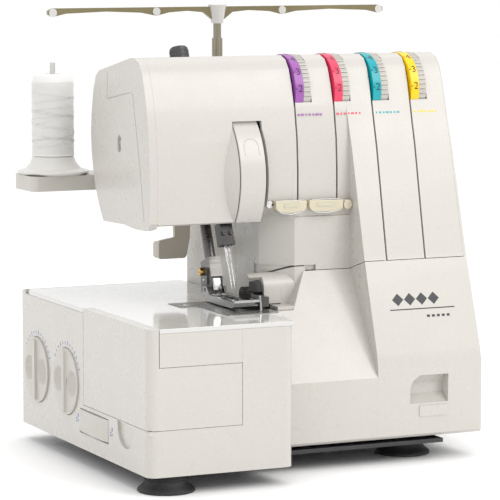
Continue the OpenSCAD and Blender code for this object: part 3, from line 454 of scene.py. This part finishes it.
def tube(bm, points, r, n=8, cap=True):
    """A round bar of radius r mm through points (Vectors in metres)."""
    rows = []
    up = Vector((0.123, 0.31, 0.94)).normalized()
    for i, p in enumerate(points):
        a = points[max(0, i - 1)]
        b = points[min(len(points) - 1, i + 1)]
        t = (b - a).normalized()
        u = (up - t * up.dot(t)).normalized()
        w = t.cross(u)
        rows.append(ring(bm, p, u, w, r / 1000, n))
    for a, b in zip(rows, rows[1:]):
        for i in range(n):
            j = (i + 1) % n
            bm.faces.new([a[i], a[j], b[j], b[i]])
    if cap:
        bm.faces.new(list(reversed(rows[0])))
        bm.faces.new(rows[-1])


X, Y, Z = Vector((1, 0, 0)), Vector((0, 1, 0)), Vector((0, 0, 1))


# ------------------------------------------------ numbers on the dials
def text_mesh(char, size):
    cu = bpy.data.curves.new("digit", "FONT")
    cu.body = char
    cu.size = size / 1000
    cu.extrude = 0.00008
    cu.align_x = "CENTER"
    cu.align_y = "CENTER"
    cu.resolution_u = 4
    ob = bpy.data.objects.new("digit", cu)
    bpy.context.scene.collection.objects.link(ob)
    dg = bpy.context.evaluated_depsgraph_get()
    me = bpy.data.meshes.new_from_object(ob.evaluated_get(dg))
    bpy.data.objects.remove(ob)
    return me


DIGIT_SIZE, DIGIT_STEP = 7.4, 28
# angle of the 3 above the front, so that it faces the operator
DIGIT_FRONT, FRONT_DIGIT = 33, 3
DIGIT_X, DASH_X = 3.9, 0.75
RIBS, RIB_X = 96, 9.3

DIGITS = {c: text_mesh(c, DIGIT_SIZE) for c in "0123456789"}
for k, n in enumerate(DIALS):
    lo, hi = box_mm(n)
    r = (hi[2] - lo[2]) / 2
    centre = P(lo[0] + DIGIT_X, *DIAL_AXIS)
    dash = P(lo[0] + DASH_X, *DIAL_AXIS)
    bm = bmesh.new()
    for d in range(10):
        ang = math.radians(DIGIT_FRONT + DIGIT_STEP * (d - FRONT_DIGIT))
        out = Vector((0, -math.cos(ang), math.sin(ang)))
        up = Vector((0, math.sin(ang), math.cos(ang)))
        pos = centre + out * ((r - 0.02) / 1000)
        rot = Matrix((X, up, out)).transposed()
        first = len(bm.verts)
        bm.from_mesh(DIGITS[str(d)])
        bm.verts.ensure_lookup_table()
        bmesh.ops.transform(bm, matrix=Matrix.Translation(pos)
                            @ rot.to_4x4(), verts=bm.verts[first:])
        # dash beside the number
        block(bm, dash + out * (r / 1000), (1.3, 0.7, 0.2), rot)
    from_bm("numbers_" + n, bm, "ink_dark", "tension_%d" % (k + 1),
            smooth=False)

# ribs round the white band of each dial
for k, n in enumerate(DIALS):
    lo, hi = box_mm(n)
    r = (hi[2] - lo[2]) / 2 - 0.4
    bm = bmesh.new()
    for i in range(RIBS):
        a = math.radians((i + 0.5) * 360 / RIBS)
        out = Vector((0, math.cos(a), math.sin(a)))
        tan = Vector((0, -math.sin(a), math.cos(a)))
        block(bm, P(lo[0] + RIB_X, *DIAL_AXIS) + out * ((r + 0.1) / 1000),
              (5.2, 0.75, 0.5), Matrix((X, tan, out)).transposed(), 0.15)
    from_bm("ribs_" + n, bm, "grey_white", "tension_%d" % (k + 1))

# ------------------------------------------------------ wound spool
base = box_mm("thread_spool")[0][2]
SPX, SPY = POLE[0] + EYES[0], POLE[1]
prof = [(2.2, 0.0), (15.4, 0.0), (15.8, 0.3), (15.8, 1.0), (15.4, 1.4)]
# the winding: four profile points for each of its turns
TURNS, PER_TURN = 64, 4
WOUND_LO, WOUND_HI = 1.6, 53.4
for i in range(TURNS * PER_TURN + 1):
    h = WOUND_LO + (WOUND_HI - WOUND_LO) * i / (TURNS * PER_TURN)
    ph = (i % PER_TURN) / PER_TURN
    prof.append((15.35 + 0.22 * math.sin(math.pi * 2 * ph)
                 + 0.06 * math.sin(i * 0.31), h))
prof += [(15.5, 53.9), (15.5, 54.6), (15.0, 55.6), (14.0, 58.4), (12.6, 59.6),
         (11.0, 60.0), (6.0, 60.0), (5.6, 59.2), (2.3, 59.2), (2.2, 58.8)]
bm = bmesh.new()
lathe(bm, P(SPX, SPY, base), Z, X, prof, 72)
spool = from_bm("wound_spool", bm, "thread_white", "spool", sharp=50)
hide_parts("thread_spool")
# stray winding strands crossing the spool
bm = bmesh.new()
for s in range(14):
    z0 = 4 + random.random() * 38
    a0 = random.random() * 6.28
    pts = []
    for i in range(50):
        t = i / 49
        a = a0 + t * 5.2 * (1 if s % 2 else -1)
        pts.append(P(SPX + 15.7 * math.cos(a), SPY + 15.7 * math.sin(a),
                     base + z0 + t * 9))
    tube(bm, pts, 0.17, 5)
from_bm("strands_spool", bm, "thread_white", "spool")

# ------------------------------------------- threads in the two needles
NEEDLE_Y, NEEDLES_X = -50.8, (-41.2, -38.9)
bm = bmesh.new()
for k, x0 in enumerate(NEEDLES_X):
    for strand in (0, 1):
        pts = []
        for i in range(60):
            t = i / 59
            h = 46 - t * 27
            tw = t * 26 + strand * math.pi
            pts.append(P(*lean_point(NEEDLE_Y, x0 + 0.5 * math.cos(tw) + 0.25
                                     * math.sin(t * 9 + k),
                                     -2.0 + 0.5 * math.sin(tw) - t * 0.6, h)))
        tube(bm, pts, 0.18, 7)
from_bm("needle_threads", bm, "needle_thread", "needle_drive")

# --------------------------------------------------- marks on the covers
LABEL_Z, LABEL_STEP = 247.0, 2.9
BAR_WIDTHS = (1.4, 2.2, 1.0, 1.8, 1.2, 2.4, 1.6)
# the head's front leans back by RISE_Y over RISE_Z, from Y -38 at Z 240
RISE_Y, RISE_Z = 3.6, 12
LABEL_Y = -38 + RISE_Y * (LABEL_Z - 240) / RISE_Z
LABEL_ROT = Matrix.Rotation(-math.atan2(RISE_Y, RISE_Z), 3, "X")
for k, (n, colour) in enumerate(zip(DIALS, ("purple", "red", "teal",
                                            "yellow"))):
    x = box_mm(n)[0][0] + 1.6
    bm = bmesh.new()
    for i in range(len(BAR_WIDTHS)):
        w = BAR_WIDTHS[(i + k) % len(BAR_WIDTHS)]
        block(bm, P(x + i * LABEL_STEP, LABEL_Y, LABEL_Z), (w, 0.16, 1.4),
              LABEL_ROT, 0.05)
    from_bm("label_" + n, bm, colour, "machine", smooth=False)


def front_y(z):
    """Y of the front cover's leaning face at height z."""
    (z0, y0), (z1, y1) = (79, -84.5), (147, -63.5)
    return y0 + (y1 - y0) * (z - z0) / (z1 - z0)


face_rot = Matrix.Rotation(-math.atan2(21, 68), 3, "X")
LINE_Z, DIAMOND_Z, DOT_Z = 108.5, 115.4, 103.2
bm = bmesh.new()
block(bm, P(95, front_y(LINE_Z) - 0.02, LINE_Z), (52, 0.16, 0.8), face_rot,
      0.05)
for i in range(4):
    block(bm, P(76 + i * 9.6, front_y(DIAMOND_Z) - 0.02, DIAMOND_Z),
          (6.4, 0.16, 6.4),
          face_rot @ Matrix.Rotation(math.radians(45), 3, "Y"), 0.05)
for i in range(5):
    block(bm, P(99 + i * 4.0, front_y(DOT_Z) - 0.02, DOT_Z),
          (2.4, 0.16, 1.8), face_rot, 0.05)
from_bm("front_mark", bm, "ink_dark", "front_cover", smooth=False)

# blue ticks round the two side dials and beside the lever
LEFT_X, SIDE_DIALS_Y, SIDE_DIALS_Z = -138.0, (28.0, 87.5), 56.5
TICK_R, TICKS, TICK_STEP, TICK_START = 27.6, 13, 10, 35
bm = bmesh.new()
for yc in SIDE_DIALS_Y:
    for i in range(TICKS):
        a = math.radians(TICK_START + i * TICK_STEP)
        y = yc + TICK_R * math.cos(a)
        z = SIDE_DIALS_Z + TICK_R * math.sin(a)
        block(bm, P(LEFT_X, y, z), (0.16, 2.0 if i % 3 else 3.2, 0.7),
              Matrix.Rotation(a, 3, "X"))
for yc, zc in ((-57.5, 33.5), (7.0, 33.5)):
    for dy, dz, w, h in ((-1.6, 1.8, 1.4, 2.6), (1.2, -0.6, 2.0, 1.0),
                         (1.2, -2.6, 2.0, 1.0), (-1.6, -2.0, 1.2, 1.2)):
        block(bm, P(LEFT_X, yc + dy, zc + dz), (0.16, w, h))
from_bm("side_marks", bm, "ink_blue", "machine", smooth=False)

# painted shadow: a dark line under the stitch lever
bm = bmesh.new()
block(bm, P(-138.1, -25, 24.1), (0.18, 53.6, 0.6))
from_bm("lever_shadow_line", bm, "lever_shadow_dark", "machine", smooth=False)

# painted shade: pale grey strips deep in the seams round the slide-off arm, in
# place of the shade inside the seams
bm = bmesh.new()
block(bm, P(-137.2, -5.15, 76.5), (0.8, 0.28, 65))
block(bm, P(-137.2, -65.0, 44.15), (0.8, 116, 0.28))
block(bm, P(-100.0, -124.1, 44.15), (62, 0.8, 0.28))
block(bm, P(-69.15, -124.1, 66.0), (0.28, 0.8, 43))
block(bm, P(-100.0, -124.1, 86.8), (61, 0.8, 0.36))
from_bm("seam_shade_strips", bm, "seam_shade_grey", "machine", smooth=False)

# ------------------------------------------------ thread guides' details
bm = bmesh.new()
for x0, x1 in ((-5.5, 15.5), (21.0, 44.5)):
    pts = [P(x0, -45.2, 180.4), P(x0 + 3, -46.3, 178.2),
           P((x0 + x1) / 2, -46.8, 177.3), P(x1 - 4, -46.3, 178.4),
           P(x1, -45.2, 181.4)]
    tube(bm, pts, 0.42, 8)
    block(bm, P((x0 + x1) / 2, -43.0, 187.0), (x1 - x0 - 1, 4.6, 0.5), None,
          0.1)
from_bm("guide_clips", bm, "bright_steel", "machine")
bm = bmesh.new()
for x0, x1 in ((-1.0, 10.5), (25.0, 39.5)):
    block(bm, P((x0 + x1) / 2, -46.05, 183.2), (x1 - x0, 0.7, 2.6), None, 0.3)
from_bm("guide_windows", bm, "cream_plastic", "machine")

# ------------------------------------------- knurl on the pressure knob
KNOB_X, KNOB_Y, KNOB_R = -41.0, -19.3, 6.75
KNURL_ROWS, KNURL_ROUND, KNURL_Z, KNURL_RISE = 3, 28, 182.6, 2.9
bm = bmesh.new()
for row in range(KNURL_ROWS):
    for i in range(KNURL_ROUND):
        a = 2 * math.pi * (i + 0.5 * (row % 2)) / KNURL_ROUND
        h = KNURL_Z + row * KNURL_RISE
        at = lean_point(KNOB_Y, KNOB_X + KNOB_R * math.cos(a),
                        KNOB_R * math.sin(a), h)
        turn = (Matrix.Rotation(-LEAN, 3, "X")
                @ Matrix.Rotation(a, 3, "Z"))
        block(bm, P(*at), (0.7, 0.75, 2.2), turn, 0.12)
from_bm("pressure_knurl", bm, "knob_grey", "pressure")

# --------------------------------------- thumb mark on the take-up lever
TAKE_Y, TAKE_Z, TAKE_R = 6.7, 203.5, 56.0
ARCH_R, ARCH_Z = 5.6, 226.0
lo, hi = box_mm("take_up_lever")
ARCH_X = (lo[0] + hi[0]) / 2 + 0.3


def on_drum(dx, z):
    """A place on the lever's round face, dx from the arch's middle."""
    y = TAKE_Y - math.sqrt(TAKE_R * TAKE_R - (z - TAKE_Z) ** 2)
    return P(ARCH_X + dx, y - 0.02, z)


pts = []
for i in range(25):
    a = math.pi * i / 24
    pts.append(on_drum(ARCH_R * math.cos(a), ARCH_Z + ARCH_R * math.sin(a)))
for i in range(1, 4):
    pts.append(on_drum(-ARCH_R, ARCH_Z - i * 2.0))
    pts.insert(0, on_drum(ARCH_R, ARCH_Z - i * 2.0))
bm = bmesh.new()
tube(bm, pts, 0.28, 8)
from_bm("take_up_mark", bm, "white_plastic", "take_up")

# ------------------------------------------------------ handwheel knurl
lo, hi = box_mm("handwheel")
WHEEL_Y, WHEEL_Z = (lo[1] + hi[1]) / 2, (lo[2] + hi[2]) / 2
WHEEL_R = (hi[2] - lo[2]) / 2
GRIP_X, GRIPS = 152.5, 60
bm = bmesh.new()
for i in range(GRIPS):
    a = 2 * math.pi * i / GRIPS
    out = Vector((0, math.cos(a), math.sin(a)))
    tan = Vector((0, -math.sin(a), math.cos(a)))
    block(bm, P(GRIP_X, WHEEL_Y, WHEEL_Z) + out * ((WHEEL_R + 0.15) / 1000),
          (13.0, 2.2, 0.9), Matrix((X, tan, out)).transposed(), 0.3)
from_bm("handwheel_grip", bm, "grey_white", "drive")

# ------------------------------------------------------- foot and plate
ON_PLATE_Z = 113.42
bm = bmesh.new()
for i in range(6):
    block(bm, P(-52 + 0.2 * i, -80 + i * 3.4, ON_PLATE_Z),
          (5.0 if i % 2 else 8.0, 0.5, 0.12))
for i in range(5):
    block(bm, P(-44 + i * 4.2, -74, ON_PLATE_Z), (0.5, 7.0, 0.12))
from_bm("plate_lines", bm, "ink_dark", "machine", smooth=False)

bm = bmesh.new()
# spring clip, toe rails and thread finger of the presser foot
block(bm, P(-39.8, -16.5, 120.2), (3.4, 4.5, 0.8),
      Matrix.Rotation(0.35, 3, "X"), 0.2)
for x in (-46.4, -33.8):
    tube(bm, [P(x, -60.4, 117.9), P(x, -61.8, 119.4), P(x, -62.6, 121.0)],
         0.9, 8)
tube(bm, [P(-31.2, -58, 116.9), P(-31.2, -44, 117.3), P(-31.2, -30, 117.2)],
     0.55, 8)
block(bm, P(-37.7, -30, 117.3), (3.2, 22, 0.9), None, 0.3)
block(bm, P(-30.4, -60, 116.6), (4.2, 5.0, 1.2), None, 0.3)
from_bm("foot_details", bm, "bright_steel", "foot")

bm = bmesh.new()
lathe(bm, P(-45.9, -7.5, 128.5), -X, Y,
      [(0, 0), (1.1, 0), (1.1, 0.5), (0.8, 0.7), (0, 0.7)], 20)
block(bm, P(-40.4, -17.5, 127.0), (6.2, 1.2, 9.5),
      Matrix.Rotation(-0.3, 3, "X"), 0.3)
from_bm("holder_details", bm, "bright_steel", "presser")

# ------------------------------------------------ feet: ribs on the necks
FEET_AT = ((-118, -107), (93, -50), (-72, 98), (104, 98))
bm = bmesh.new()
for x, y in FEET_AT:
    for h in (8.2, 9.6, 11.0):
        lathe(bm, P(x, y, h), Z, X, [(14.2, -0.4), (14.95, -0.2), (14.95, 0.2),
                                     (14.2, 0.4)], 40, closed=True)
from_bm("foot_ribs", bm, "rubber_black", "machine")

# ---------------------------------------------------------------- stage
FLOOR_HALF, FLOOR_Z = 14.0, -0.0002
WORLD_STRENGTH = 1.04


def studio():
    """A pale floor, a white world and three soft lights."""
    m, nt, b = new_material("floor_white")
    tc = nt.nodes.new("ShaderNodeTexCoord")
    n1 = noise(nt, tc, 3.0, 3.0)
    col = ramp(nt, n1.outputs["Fac"], [(0.3, (0.965, 0.965, 0.965)),
                                       (0.7, (0.98, 0.98, 0.98))])
    nt.links.new(col.outputs[0], b.inputs["Base Color"])
    rr = span(nt, n1.outputs["Fac"], 0.5, 0.6)
    nt.links.new(rr.outputs[0], b.inputs["Roughness"])
    bm2 = bmesh.new()
    vs = [bm2.verts.new((x * FLOOR_HALF, y * FLOOR_HALF, FLOOR_Z))
          for x, y in ((-1, -1), (1, -1), (1, 1), (-1, 1))]
    bm2.faces.new(vs)
    me = bpy.data.meshes.new("floor")
    bm2.to_mesh(me)
    bm2.free()
    floor = bpy.data.objects.new("floor", me)
    bpy.context.scene.collection.objects.link(floor)
    floor.data.materials.append(m)

    world = bpy.data.worlds.new("world")
    bpy.context.scene.world = world
    world.use_nodes = True
    bg = world.node_tree.nodes["Background"]
    bg.inputs["Color"].default_value = (1.0, 1.0, 1.0, 1)
    bg.inputs["Strength"].default_value = WORLD_STRENGTH

    def area(name, loc, target, size, power, colour=(1, 1, 1)):
        d = bpy.data.lights.new(name, "AREA")
        d.energy = power
        d.shape = "RECTANGLE"
        d.size, d.size_y = size
        d.color = colour
        o = bpy.data.objects.new(name, d)
        bpy.context.scene.collection.objects.link(o)
        o.location = loc
        o.rotation_euler = (Vector(target) - Vector(loc)).to_track_quat(
            "-Z", "Y").to_euler()

    area("key", (0.9, -1.6, 1.5), (0, 0, 0.15), (1.2, 1.2), 16,
         (1.0, 0.985, 0.96))
    area("top", (0.0, 0.2, 1.9), (0, 0, 0.1), (1.6, 1.6), 11)
    area("left", (-1.9, -0.4, 0.8), (0, 0, 0.15), (0.9, 1.2), 1)


studio()
bpy.context.scene.view_settings.view_transform = "Standard"
bpy.context.scene.view_settings.look = "None"
bpy.context.scene.view_settings.exposure = 0.0
